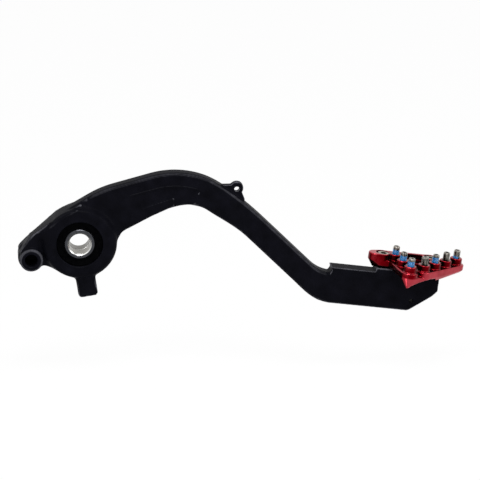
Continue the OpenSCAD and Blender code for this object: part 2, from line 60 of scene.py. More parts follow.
# camera: a long lens a little above the pedal and to the left of its middle
cameraSetup = {
    "place": (-0.0550, -1.6008, 0.5189),
    "right": (0.9945, -0.1045, 0.0),
    "up": (0.0323, 0.3073, 0.9511),
    "lens": 180,
    "sensor": 36,
    "clip": (0.1, 20),
}


def makeCamera(c):
    data = bpy.data.cameras.new("camera")
    data.lens = c["lens"]
    data.sensor_width = c["sensor"]
    data.clip_start, data.clip_end = c["clip"]
    cam = bpy.data.objects.new("camera", data)
    right, up = Vector(c["right"]).normalized(), Vector(c["up"]).normalized()
    back = right.cross(up).normalized()
    up = back.cross(right)
    turn = Matrix((right, up, back)).transposed().to_4x4()
    cam.matrix_world = Matrix.Translation(c["place"]) @ turn
    scene.collection.objects.link(cam)
    scene.camera = cam


makeCamera(cameraSetup)
print("camera placed")


# material helpers
def linear(hexColour):
    values = [int(hexColour[i:i + 2], 16) / 255 for i in (1, 3, 5)]
    return tuple(v / 12.92 if v <= 0.04045 else ((v + 0.055) / 1.055) ** 2.4 for v in values) + (1,)


# one node with its settings, its values and links, and its colour stops where it has them
def add(tree, kind, inputs=None, stops=(), **settings):
    node = tree.nodes.new(kind)
    for name, value in settings.items():
        setattr(node, name, value)
    for name, value in (inputs or {}).items():
        socket = node.inputs[name]
        if isinstance(value, bpy.types.NodeSocket):
            tree.links.new(value, socket)
        else:
            socket.default_value = value
    if stops:
        elements = node.color_ramp.elements
        for element, (position, colour) in zip(elements, (stops[0], stops[-1])):
            element.position, element.color = position, linear(colour)
        for position, colour in stops[1:-1]:
            elements.new(position).color = linear(colour)
    return node


def startMaterial(name):
    material = bpy.data.materials.new(name)
    material.use_nodes = True
    tree = material.node_tree
    tree.nodes.clear()
    return material, tree, add(tree, "ShaderNodeTexCoord").outputs["Object"]


def endMaterial(tree, shader):
    add(tree, "ShaderNodeOutputMaterial", {"Surface": shader.outputs["BSDF"]})


# the middle part of a noise, over which colour and roughness change
noiseRange = (0.3, 0.7)


# satin black anodised forging: its blasted grain gives a soft, slightly uneven sheen, and the outer
# edges are a little greyer, partly rubbed by the boot and partly a painted highlight. cloud and grain
# are sizes in mm, and the grain is drawn coarser than the real one so that it shows
armFinish = {
    "dark": "#09090D",
    "light": "#0F0F15",
    "wearAndPaintedLight": "#515157",
    "tones": (0.3, 0.75),
    "rough": (0.29, 0.37),
    "specular": 0.009,
    "cloud": 9.0,
    "grain": 0.35,
    "grainDepth": 0.00003,
    "grainStrength": 0.6,
    "edge": (0.512, 0.529),
    "patches": (0.35, 0.6),
    "leastWearAndHighlight": 0.6,
    "side": (0.93, 0.985),
    # mouths of the bores, left without the worn edge and its painted highlight: x, z and radius in mm
    "mouths": ((0, 0, 18.8), (-33.85, -10.35, 5.4), (233.65, -48.67, 3.2)),
    "mouthFade": 1.2,
}


def satinBlackAnodise(f):
    material, tree, place = startMaterial("satinBlackAnodisedForging")
    cloud = add(tree, "ShaderNodeTexNoise", {"Vector": place, "Scale": 1000 / f["cloud"], "Detail": 4.0})
    grain = add(tree, "ShaderNodeTexNoise", {"Vector": place, "Scale": 1000 / f["grain"], "Detail": 2.0})
    colour = add(tree, "ShaderNodeValToRGB", {"Fac": cloud.outputs["Fac"]},
        stops=((f["tones"][0], f["dark"]), (f["tones"][1], f["light"])))
    # wear and painted highlight: outer edges, in patches
    curve = add(tree, "ShaderNodeNewGeometry")
    edgeWearAndHighlight = add(tree, "ShaderNodeMapRange", {"Value": curve.outputs["Pointiness"],
        "From Min": f["edge"][0], "From Max": f["edge"][1]})
    patchy = add(tree, "ShaderNodeMapRange", {"Value": cloud.outputs["Fac"],
        "From Min": f["patches"][0], "From Max": f["patches"][1], "To Min": f["leastWearAndHighlight"]})
    share = add(tree, "ShaderNodeMath", {0: edgeWearAndHighlight.outputs["Result"], 1: patchy.outputs["Result"]},
        operation="MULTIPLY")
    # but not on the flat sides, nor at the mouths of the bores
    side = add(tree, "ShaderNodeSeparateXYZ", {"Vector": add(tree, "ShaderNodeTexCoord").outputs["Normal"]})
    flatness = add(tree, "ShaderNodeMath", {0: side.outputs["Y"]}, operation="ABSOLUTE")
    turned = add(tree, "ShaderNodeMapRange", {"Value": flatness.outputs[0],
        "From Min": f["side"][0], "From Max": f["side"][1], "To Min": 1.0, "To Max": 0.0})
    share = add(tree, "ShaderNodeMath", {0: share.outputs[0], 1: turned.outputs["Result"]},
        operation="MULTIPLY")
    for x, z, reach in f["mouths"]:
        away = add(tree, "ShaderNodeVectorMath", {0: place, 1: (x * mm, 0, z * mm)}, operation="SUBTRACT")
        flat = add(tree, "ShaderNodeVectorMath", {0: away.outputs["Vector"], 1: (1, 0, 1)},
            operation="MULTIPLY")
        radius = add(tree, "ShaderNodeVectorMath", {0: flat.outputs["Vector"]}, operation="LENGTH")
        clear = add(tree, "ShaderNodeMapRange", {"Value": radius.outputs["Value"],
            "From Min": reach * mm, "From Max": (reach + f["mouthFade"]) * mm})
        share = add(tree, "ShaderNodeMath", {0: share.outputs[0], 1: clear.outputs["Result"]},
            operation="MULTIPLY")
    # the greyer edge colour is partly wear and partly a painted highlight
    wearAndPaintedLight = add(tree, "ShaderNodeMix", {"Factor": share.outputs[0], 6: colour.outputs["Color"],
        7: linear(f["wearAndPaintedLight"])}, data_type="RGBA")
    rough = add(tree, "ShaderNodeMapRange", {"Value": cloud.outputs["Fac"],
        "From Min": noiseRange[0], "From Max": noiseRange[1],
        "To Min": f["rough"][0], "To Max": f["rough"][1]})
    bump = add(tree, "ShaderNodeBump", {"Height": grain.outputs["Fac"], "Distance": f["grainDepth"],
        "Strength": f["grainStrength"]})
    shader = add(tree, "ShaderNodeBsdfPrincipled", {"Base Color": wearAndPaintedLight.outputs[2],
        "Roughness": rough.outputs["Result"], "Specular IOR Level": f["specular"],
        "Normal": bump.outputs["Normal"]})
    endMaterial(tree, shader)
    return material


# the tip seat's own frame: along the block, across it, and straight up out of it
seat = {"origin": (0.177544, -0.0098, -0.022507), "pitch": 8}
seatTurn = Matrix.Rotation(math.radians(seat["pitch"]), 4, "Y")
seatUp = (seatTurn @ Vector((0, 0, 1))).normalized()


# bright red anodised aluminium: the clear dye over a tumbled surface gives a glossy metal. Its colour is
# painted paler on tops and on the long front flat, where the light falls, and painted shade makes it deep on
# the turned bosses, on the heel's end and where faces shade each other. Sizes are in mm; the marks are drawn
# coarser than the real ones so that they show
tipFinish = {
    "shaded": "#260204",
    "deep": "#6A0009",
    "open": "#AC3A44",
    "tones": (0.2, 0.66, 0.98),
    "rough": (0.15, 0.25),
    "cloud": 6.25,
    "unevenness": 0.09,
    "mark": 0.5,
    "markDepth": 0.00001,
    "markStrength": 0.4,
    "reach": 22.0,
    # painted shade on walls: the facing over which it comes in, and how much on flat and on turned walls
    "wall": (0.3, 0.85),
    "flat": 0.06,
    "turned": 0.34,
    "heelEnd": (221, 226),
    "bossFoot": (10.2, 11.0),
    "cornerR": (7.2, 8.2),
    "cornerFoot": (5.8, 6.6),
}


def redAnodise(f):
    material, tree, place = startMaterial("redAnodisedAluminium")
    cloud = add(tree, "ShaderNodeTexNoise", {"Vector": place, "Scale": 1000 / f["cloud"], "Detail": 3.0})
    marks = add(tree, "ShaderNodeTexNoise", {"Vector": place, "Scale": 1000 / f["mark"], "Detail": 1.0})
    # painted shade where faces are near each other
    shade = add(tree, "ShaderNodeAmbientOcclusion", {"Distance": f["reach"] * mm}, samples=12,
        only_local=False)
    uneven = add(tree, "ShaderNodeMapRange", {"Value": cloud.outputs["Fac"],
        "From Min": noiseRange[0], "From Max": noiseRange[1],
        "To Min": -f["unevenness"], "To Max": f["unevenness"]})
    # painted shade on the walls, so that the tops look paler as if lit from above
    facing = add(tree, "ShaderNodeSeparateXYZ", {"Vector": add(tree, "ShaderNodeTexCoord").outputs["Normal"]})
    level = add(tree, "ShaderNodeMath", {0: facing.outputs["Z"]}, operation="ABSOLUTE")
    wall = add(tree, "ShaderNodeMapRange", {"Value": level.outputs[0],
        "From Min": f["wall"][0], "From Max": f["wall"][1], "To Min": 1.0, "To Max": 0.0})
    # height above the arm's seat, and the place along the pedal
    height = add(tree, "ShaderNodeVectorMath", {0: place, 1: seatUp}, operation="DOT_PRODUCT")
    foot = Vector(seat["origin"]).dot(seatUp)
    boss = add(tree, "ShaderNodeMapRange", {"Value": height.outputs["Value"],
        "From Min": foot + f["bossFoot"][0] * mm, "From Max": foot + f["bossFoot"][1] * mm})
    along = add(tree, "ShaderNodeSeparateXYZ", {"Vector": place})
    heel = add(tree, "ShaderNodeMapRange", {"Value": along.outputs["X"],
        "From Min": f["heelEnd"][0] * mm, "From Max": f["heelEnd"][1] * mm, "To Min": 1.0, "To Max": 0.0})
    # painted shade also falls on the turned wall that runs down round the corner stud to the bevel
    cornerMiddle = sum(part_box("stud_3"), Vector()) / 2
    away = add(tree, "ShaderNodeVectorMath", {0: place, 1: cornerMiddle}, operation="SUBTRACT")
    across = add(tree, "ShaderNodeVectorMath", {0: away.outputs["Vector"], 1: seatUp},
        operation="CROSS_PRODUCT")
    radius = add(tree, "ShaderNodeVectorMath", {0: across.outputs["Vector"]}, operation="LENGTH")
    within = add(tree, "ShaderNodeMapRange", {"Value": radius.outputs["Value"],
        "From Min": f["cornerR"][0] * mm, "From Max": f["cornerR"][1] * mm, "To Min": 1.0, "To Max": 0.0})
    clear = add(tree, "ShaderNodeMapRange", {"Value": height.outputs["Value"],
        "From Min": foot + f["cornerFoot"][0] * mm, "From Max": foot + f["cornerFoot"][1] * mm})
    corner = add(tree, "ShaderNodeMath", {0: within.outputs["Result"], 1: clear.outputs["Result"]},
        operation="MULTIPLY")
    # the turned walls take more painted shade: the bosses above their foot, the heel's end and round the
    # corner stud
    ends = add(tree, "ShaderNodeMath", {0: boss.outputs["Result"], 1: heel.outputs["Result"]},
        operation="MAXIMUM")
    turned = add(tree, "ShaderNodeMath", {0: ends.outputs[0], 1: corner.outputs[0]}, operation="MAXIMUM")
    amount = add(tree, "ShaderNodeMapRange", {"Value": turned.outputs[0], "To Min": f["flat"],
        "To Max": f["turned"]})
    less = add(tree, "ShaderNodeMath", {0: wall.outputs["Result"], 1: amount.outputs["Result"]},
        operation="MULTIPLY")
    lit = add(tree, "ShaderNodeMath", {0: shade.outputs["AO"], 1: less.outputs[0]}, operation="SUBTRACT")
    tone = add(tree, "ShaderNodeMath", {0: lit.outputs[0], 1: uneven.outputs["Result"]}, operation="ADD")
    colour = add(tree, "ShaderNodeValToRGB", {"Fac": tone.outputs[0]},
        stops=tuple(zip(f["tones"], (f["shaded"], f["deep"], f["open"]))))
    rough = add(tree, "ShaderNodeMapRange", {"Value": marks.outputs["Fac"],
        "From Min": noiseRange[0], "From Max": noiseRange[1],
        "To Min": f["rough"][0], "To Max": f["rough"][1]})
    bump = add(tree, "ShaderNodeBump", {"Height": marks.outputs["Fac"], "Distance": f["markDepth"],
        "Strength": f["markStrength"]})
    shader = add(tree, "ShaderNodeBsdfPrincipled", {"Base Color": colour.outputs["Color"],
        "Metallic": 1.0, "Roughness": rough.outputs["Result"], "Normal": bump.outputs["Normal"]})
    endMaterial(tree, shader)
    return material


# turned steel, ground on the bearing and zinc plated on the screws: rings left by the tool draw the gloss
# out round the pivot axis, and faint clouds make it uneven. ring and cloud are sizes in mm, and the rings
# are drawn coarser than the real ones so that they show
bearingFinish = {
    "dark": "#9E9C97",
    "light": "#CFCDC8",
    "rough": (0.22, 0.36),
    "cloud": 4.55,
    "ring": 1.2566,
    "ringDepth": 0.00001,
    "ringStrength": 0.3,
}
screwFinish = bearingFinish | {"dark": "#5F594F", "light": "#B9B3A6", "rough": (0.2, 0.36), "ring": 5.0265}


def turnedSteel(name, f):
    material, tree, place = startMaterial(name)
    cloud = add(tree, "ShaderNodeTexNoise", {"Vector": place, "Scale": 1000 / f["cloud"], "Detail": 4.0})
    # at scale 1 a wave texture turns through 20 radians in a metre
    rings = add(tree, "ShaderNodeTexWave", {"Vector": place, "Scale": math.tau * 1000 / f["ring"] / 20,
        "Distortion": 0.4, "Detail": 1.0}, wave_type="BANDS", bands_direction="Y")
    colour = add(tree, "ShaderNodeValToRGB", {"Fac": cloud.outputs["Fac"]},
        stops=((noiseRange[0], f["dark"]), (noiseRange[1], f["light"])))
    rough = add(tree, "ShaderNodeMapRange", {"Value": cloud.outputs["Fac"],
        "From Min": noiseRange[0], "From Max": noiseRange[1],
        "To Min": f["rough"][0], "To Max": f["rough"][1]})
    bump = add(tree, "ShaderNodeBump", {"Height": rings.outputs["Fac"], "Distance": f["ringDepth"],
        "Strength": f["ringStrength"]})
    shader = add(tree, "ShaderNodeBsdfPrincipled", {"Base Color": colour.outputs["Color"],
        "Metallic": 1.0, "Roughness": rough.outputs["Result"], "Normal": bump.outputs["Normal"]})
    endMaterial(tree, shader)
    return material


# zinc plated collar: a grey end face, a polished chamfer brightened by a painted highlight, and a bore
# with painted shade, darker towards its far end and darkest in the relief groove round its middle.
# Radii and depths are in mm
collarFinish = {
    "face": "#414246",
    "chamfer": "#D8D8D5",
    "near": "#86837B",
    "middle": "#76736B",
    "groove": "#24221E",
    "far": "#5C5951",
    "rough": (0.16, 0.34),
    "cloud": 3.85,
    "streaks": (0.82, 1.12),
    "chamferFrom": (7.52, 7.66),
    "faceFrom": (8.2, 8.4),
    "depth": 9,
    "stops": (0.1, 0.48, 0.53, 0.58, 0.63, 0.9),
}


def platedCollar(f):
    material, tree, place = startMaterial("platedPivotCollar")
    axes = add(tree, "ShaderNodeSeparateXYZ", {"Vector": place})
    flat = add(tree, "ShaderNodeCombineXYZ", {"X": axes.outputs["X"], "Z": axes.outputs["Z"]})
    radius = add(tree, "ShaderNodeVectorMath", {0: flat.outputs[0]}, operation="LENGTH")
    outer = add(tree, "ShaderNodeMapRange", {"Value": radius.outputs["Value"],
        "From Min": f["faceFrom"][0] * mm, "From Max": f["faceFrom"][1] * mm})
    inner = add(tree, "ShaderNodeMapRange", {"Value": radius.outputs["Value"],
        "From Min": f["chamferFrom"][0] * mm, "From Max": f["chamferFrom"][1] * mm})
    depth = add(tree, "ShaderNodeMapRange", {"Value": axes.outputs["Y"], "From Min": -f["depth"] * mm,
        "From Max": f["depth"] * mm})
    # painted shade down the bore and in the groove
    tones = (f["near"], f["middle"], f["groove"], f["groove"], f["far"], f["far"])
    bore = add(tree, "ShaderNodeValToRGB", {"Fac": depth.outputs["Result"]},
        stops=tuple(zip(f["stops"], tones)))
    cloud = add(tree, "ShaderNodeTexNoise", {"Vector": place, "Scale": 1000 / f["cloud"], "Detail": 4.0})
    streak = add(tree, "ShaderNodeMapRange", {"Value": cloud.outputs["Fac"],
        "From Min": noiseRange[0], "From Max": noiseRange[1],
        "To Min": f["streaks"][0], "To Max": f["streaks"][1]})
    # the chamfer's bright colour is partly polish and partly a painted highlight
    ends = add(tree, "ShaderNodeMix", {"Factor": inner.outputs["Result"], 6: bore.outputs["Color"],
        7: linear(f["chamfer"])}, data_type="RGBA")
    colour = add(tree, "ShaderNodeMix", {"Factor": outer.outputs["Result"], 6: ends.outputs[2],
        7: linear(f["face"])}, data_type="RGBA")
    tone = add(tree, "ShaderNodeVectorMath", {0: colour.outputs[2], "Scale": streak.outputs["Result"]},
        operation="SCALE")
    rough = add(tree, "ShaderNodeMapRange", {"Value": cloud.outputs["Fac"],
        "From Min": noiseRange[0], "From Max": noiseRange[1],
        "To Min": f["rough"][0], "To Max": f["rough"][1]})
    shader = add(tree, "ShaderNodeBsdfPrincipled", {"Base Color": tone.outputs["Vector"], "Metallic": 1.0,
        "Roughness": rough.outputs["Result"]})
    endMaterial(tree, shader)
    return material


# moulded nitrile rubber: dull and nearly black, with a faint uneven bloom. bloom is its size in mm
rubberFinish = {"dark": "#020203", "light": "#060607", "tones": (0.35, 0.75), "rough": 0.62,
    "specular": 0.006, "bloom": 2.5, "bloomDepth": 0.00002, "bloomStrength": 0.4}


def nitrileRubber(f):
    material, tree, place = startMaterial("nitrileRubber")
    bloom = add(tree, "ShaderNodeTexNoise", {"Vector": place, "Scale": 1000 / f["bloom"], "Detail": 5.0})
    colour = add(tree, "ShaderNodeValToRGB", {"Fac": bloom.outputs["Fac"]},
        stops=((f["tones"][0], f["dark"]), (f["tones"][1], f["light"])))
    bump = add(tree, "ShaderNodeBump", {"Height": bloom.outputs["Fac"], "Distance": f["bloomDepth"],
        "Strength": f["bloomStrength"]})
    shader = add(tree, "ShaderNodeBsdfPrincipled", {"Base Color": colour.outputs["Color"],
        "Roughness": f["rough"], "Specular IOR Level": f["specular"], "Normal": bump.outputs["Normal"]})
    endMaterial(tree, shader)
    return material


# plated set screw with dried thread lock: an uneven worn steel tone, with painted shade dark in the
# roots, and a blotched blue patch whose reach is kept on the mesh as threadLock. Sizes are in mm
studFinish = {
    "dark": "#1E1B18",
    "light": "#BEB9B0",
    "tones": (0.26, 0.58),
    "rough": (0.18, 0.34),
    "blue": "#1C6FB6",
    "paleBlue": "#459BD8",
    "blueTones": (0.3, 0.75),
    "wear": 1.25,
    "drawn": 0.22,
    "blotch": 2 / 3,
    "patchEdge": (0.98, 1.08),
    "root": 1.8,
}


def platedStud(f):
    material, tree, place = startMaterial("platedStudWithThreadLock")
    drawn = add(tree, "ShaderNodeMapping", {"Vector": place, "Scale": (1.0, 1.0, f["drawn"])})
    cloud = add(tree, "ShaderNodeTexNoise", {"Vector": drawn.outputs["Vector"],
        "Scale": 1000 / f["wear"], "Detail": 3.0})
    blotch = add(tree, "ShaderNodeTexNoise", {"Vector": place, "Scale": 1000 / f["blotch"], "Detail": 3.0})
    reach = add(tree, "ShaderNodeAttribute", attribute_name="threadLock")
    ragged = add(tree, "ShaderNodeMath", {0: reach.outputs["Fac"], 1: blotch.outputs["Fac"]},
        operation="ADD")
    patch = add(tree, "ShaderNodeMapRange", {"Value": ragged.outputs[0],
        "From Min": f["patchEdge"][0], "From Max": f["patchEdge"][1]})
    # painted shade: the thread roots are darkened by occlusion
    shade = add(tree, "ShaderNodeAmbientOcclusion", {"Distance": f["root"] * mm}, samples=8)
    wearAndPaintedLight = add(tree, "ShaderNodeMath", {0: cloud.outputs["Fac"], 1: shade.outputs["AO"]},
        operation="MULTIPLY")
    steel = add(tree, "ShaderNodeValToRGB", {"Fac": wearAndPaintedLight.outputs[0]},
        stops=((f["tones"][0], f["dark"]), (f["tones"][1], f["light"])))
    blue = add(tree, "ShaderNodeValToRGB", {"Fac": blotch.outputs["Fac"]},
        stops=((f["blueTones"][0], f["blue"]), (f["blueTones"][1], f["paleBlue"])))
    colour = add(tree, "ShaderNodeMix", {"Factor": patch.outputs["Result"], 6: steel.outputs["Color"],
        7: blue.outputs["Color"]}, data_type="RGBA")
    metal = add(tree, "ShaderNodeMath", {0: 1.0, 1: patch.outputs["Result"]}, operation="SUBTRACT")
    rough = add(tree, "ShaderNodeMapRange", {"Value": cloud.outputs["Fac"],
        "From Min": noiseRange[0], "From Max": noiseRange[1],
        "To Min": f["rough"][0], "To Max": f["rough"][1]})
    shader = add(tree, "ShaderNodeBsdfPrincipled", {"Base Color": colour.outputs[2],
        "Metallic": metal.outputs[0], "Roughness": rough.outputs["Result"]})
    endMaterial(tree, shader)
    return material


armBlack = satinBlackAnodise(armFinish)
tipRed = redAnodise(tipFinish)
collarSteel = platedCollar(collarFinish)
bearingSteel = turnedSteel("groundBearingSteel", bearingFinish)
screwSteel = turnedSteel("platedScrewSteel", screwFinish)
studSteel = platedStud(studFinish)
sealRubber = nitrileRubber(rubberFinish)
finishes = {
    "arm": armBlack,
    "pivot_collar": collarSteel,
    "outer_seal": sealRubber,
    "inner_seal": sealRubber,
    "bearing_cup": bearingSteel,
    "bearing_cage": bearingSteel,
    "bearing_needles": bearingSteel,
    "brake_tip": tipRed,
    "rear_tip_screw": screwSteel,
    "front_tip_screw": screwSteel,
}


def paint(piece, material):
    piece.data.materials.clear()
    piece.data.materials.append(material)


for name, piece in nodes.items():
    paint(piece, finishes.get(name, studSteel))
print("materials made")


# studio: white world, white floor that keeps a faint shadow, and soft lamps above; lengths in metres
studio = {
    "worldLight": 0.55,
    "worldSeen": 1.0,
    "white": "#FFFFFF",
    "floorDrop": 0.045,
    "floorRadius": 3.0,
    "floorMiddle": 0.1,
    "floorCard": "#F4F4F4",
    "floorWhite": 0.95,
    "aim": (0.09, 0, 0),
    "lamps": {
        "top": {"place": (0.09, -0.42, 1.05), "size": (0.6, 0.35), "power": 8},
        "left": {"place": (-0.9, -0.9, 0.7), "size": (0.7, 0.7), "power": 5},
        "right": {"place": (1.1, -0.5, 0.6), "size": (0.6, 0.6), "power": 4},
    },
}


def makeLamp(name, lamp, aim):
    data = bpy.data.lights.new(name, "AREA")
    data.shape = "RECTANGLE"
    data.size, data.size_y = lamp["size"]
    data.energy = lamp["power"]
    piece = bpy.data.objects.new(name, data)
    piece.location = lamp["place"]
    beam = Vector(aim) - Vector(lamp["place"])
    piece.rotation_euler = beam.to_track_quat("-Z", "Y").to_euler()
    piece.visible_camera = False
    scene.collection.objects.link(piece)


def seenDirectly(tree):
    # camera, glossy and transmission rays see the white studio
    path = add(tree, "ShaderNodeLightPath")
    first = add(tree, "ShaderNodeMath", {0: path.outputs["Is Camera Ray"], 1: path.outputs["Is Glossy Ray"]},
        operation="MAXIMUM")
    both = add(tree, "ShaderNodeMath", {0: first.outputs[0], 1: path.outputs["Is Transmission Ray"]},
        operation="MAXIMUM")
    return both.outputs[0]


def makeStudio(s):
    world = bpy.data.worlds.new("studio")
    scene.world = world
    world.use_nodes = True
    tree = world.node_tree
    tree.nodes.clear()
    white = linear(s["white"])
    lit = add(tree, "ShaderNodeBackground", {"Color": white, "Strength": s["worldLight"]})
    seen = add(tree, "ShaderNodeBackground", {"Color": white, "Strength": s["worldSeen"]})
    mix = add(tree, "ShaderNodeMixShader", {0: seenDirectly(tree), 1: lit.outputs[0], 2: seen.outputs[0]})
    add(tree, "ShaderNodeOutputWorld", {"Surface": mix.outputs[0]})

    sheet = bmesh.new()
    bmesh.ops.create_circle(sheet, cap_ends=True, cap_tris=False, segments=96, radius=s["floorRadius"])
    bmesh.ops.translate(sheet, verts=sheet.verts, vec=(s["floorMiddle"], 0, cadLow.z - s["floorDrop"]))
    mesh = bpy.data.meshes.new("floor")
    sheet.to_mesh(mesh)
    sheet.free()
    floor = bpy.data.objects.new("floor", mesh)
    scene.collection.objects.link(floor)
    material = bpy.data.materials.new("whiteFloor")
    material.use_nodes = True
    tree = material.node_tree
    tree.nodes.clear()
    card = add(tree, "ShaderNodeBsdfDiffuse", {"Color": linear(s["floorCard"])})
    glow = add(tree, "ShaderNodeEmission", {"Color": white, "Strength": 1.0})
    share = add(tree, "ShaderNodeMath", {0: seenDirectly(tree), 1: s["floorWhite"]}, operation="MULTIPLY")
    mix = add(tree, "ShaderNodeMixShader", {0: share.outputs[0], 1: card.outputs[0], 2: glow.outputs[0]})
    add(tree, "ShaderNodeOutputMaterial", {"Surface": mix.outputs[0]})
    mesh.materials.append(material)
    for name, lamp in s["lamps"].items():
        makeLamp(name, lamp, s["aim"])


makeStudio(studio)
print("studio made")


# points of a new piece nearer than joinDistance are one, and those of a CAD solid nearer than
# solidDistance, both in metres; a turned edge sharper than crispAngle stays crisp
joinDistance = 0.000002
solidDistance = 0.00001
crispAngle = 30


def finishPiece(name, work, material, body, node):
    bmesh.ops.remove_doubles(work, verts=work.verts, dist=joinDistance)
    bmesh.ops.recalc_face_normals(work, faces=work.faces)
    mesh = bpy.data.meshes.new(name)
    work.to_mesh(mesh)
    work.free()
    mesh.shade_smooth()
    mesh.set_sharp_from_angle(angle=math.radians(crispAngle))
    piece = bpy.data.objects.new(name, mesh)
    scene.collection.objects.link(piece)
    paint(piece, material)
    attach(piece, body)
    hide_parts(node)


# turned solid: the profile is a closed loop of radius and height in mm, and the axis points outboard
def turnedSolid(work, profile, centre=(0, 0, 0), steps=96):
    ring = [work.verts.new((r * mm, 0, z * mm)) for r, z in profile]
    edges = [work.edges.new(pair) for pair in zip(ring, ring[1:] + ring[:1])]
    bmesh.ops.spin(work, geom=ring + edges, cent=(0, 0, 0), axis=(0, 0, 1), angle=math.tau, steps=steps,
        use_merge=True)
    bmesh.ops.remove_doubles(work, verts=work.verts, dist=joinDistance)
    lie = Matrix.Translation(Vector(centre) * mm) @ Matrix.Rotation(math.radians(90), 4, "X")
    bmesh.ops.transform(work, matrix=lie, verts=work.verts)
    bmesh.ops.recalc_face_normals(work, faces=work.faces)


def turnedShape(name, profile, centre=(0, 0, 0), steps=96):
    work = bmesh.new()
    turnedSolid(work, profile, centre, steps)
    mesh = bpy.data.meshes.new(name)
    work.to_mesh(mesh)
    work.free()
    return mesh


# a plain round rod between two heights
def rodProfile(r, low, high):
    return [(0, low), (r, low), (r, high), (0, high)]


# a convex block: its outline is points of x and z in mm, and it reaches from one depth to another;
# a third number is a point's own near depth
def blockShape(name, outline, near, far):
    work = bmesh.new()
    for x, z, *own in outline:
        for y in (own[0] if own else near, far):
            work.verts.new((x * mm, y * mm, z * mm))
    made = bmesh.ops.convex_hull(work, input=work.verts)
    bmesh.ops.delete(work, geom=list(set(made["geom_interior"] + made["geom_unused"])), context="VERTS")
    bmesh.ops.recalc_face_normals(work, faces=work.faces)
    mesh = bpy.data.meshes.new(name)
    work.to_mesh(mesh)
    work.free()
    return mesh


def bake(piece):
    bpy.context.view_layer.update()
    old = piece.data
    view = bpy.context.evaluated_depsgraph_get()
    done = bpy.data.meshes.new_from_object(piece.evaluated_get(view))
    piece.modifiers.clear()
    piece.data = done
    bpy.data.meshes.remove(old)


def cut(piece, tools):
    if not tools:
        return
    objects = []
    for mesh in tools:
        tool = bpy.data.objects.new(mesh.name, mesh)
        scene.collection.objects.link(tool)
        step = piece.modifiers.new(mesh.name, "BOOLEAN")
        step.operation = "DIFFERENCE"
        step.solver = "MANIFOLD"
        step.object = tool
        objects.append(tool)
    bake(piece)
    for tool in objects:
        bpy.data.meshes.remove(tool.data)


# forged and machined solids get their soft edges from a fine remesh of the CAD solid: metal is carved
# off or laid on where the forging is fuller, plugs close the bores while the edges are softened, and
# cutters open them again with crisp mouths
def softened(name, node, shape, material, carve=(), extra=(), cutters=(), melt=None):
    mesh = nodes[node].data.copy()
    piece = bpy.data.objects.new(name, mesh)
    scene.collection.objects.link(piece)
    work = bmesh.new()
    work.from_mesh(mesh)
    bmesh.ops.remove_doubles(work, verts=work.verts, dist=solidDistance)
    work.to_mesh(mesh)
    work.free()
    cut(piece, carve)
    work = bmesh.new()
    work.from_mesh(piece.data)
    for part in extra:
        work.from_mesh(part)
        bpy.data.meshes.remove(part)
    work.to_mesh(piece.data)
    work.free()
    remesh = piece.modifiers.new("remesh", "REMESH")
    remesh.mode = "VOXEL"
    remesh.voxel_size = shape["voxel"] * mm
    bake(piece)
    if melt:
        group = piece.vertex_groups.new(name="melt")
        levels = {}
        for v in piece.data.vertices:
            levels.setdefault(round(melt(v.co / mm), 1), []).append(v.index)
        for level, members in levels.items():
            if level > 0:
                group.add(members, level, "REPLACE")
        blend = piece.modifiers.new("blend", "SMOOTH")
        blend.vertex_group = "melt"
        blend.factor = 0.5
        blend.iterations = shape["meltRounds"]
    smooth = piece.modifiers.new("soften", "SMOOTH")
    smooth.factor = 0.5
    smooth.iterations = shape["rounds"]
    bake(piece)
    cut(piece, cutters)
    piece.vertex_groups.clear()
    piece.data.name = name
    piece.data.shade_smooth()
    piece.data.set_sharp_from_angle(angle=math.radians(shape["crisp"]))
    paint(piece, material)
    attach(piece, "pedal")
    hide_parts(node)
    print(name, "made with", len(piece.data.polygons), "faces")


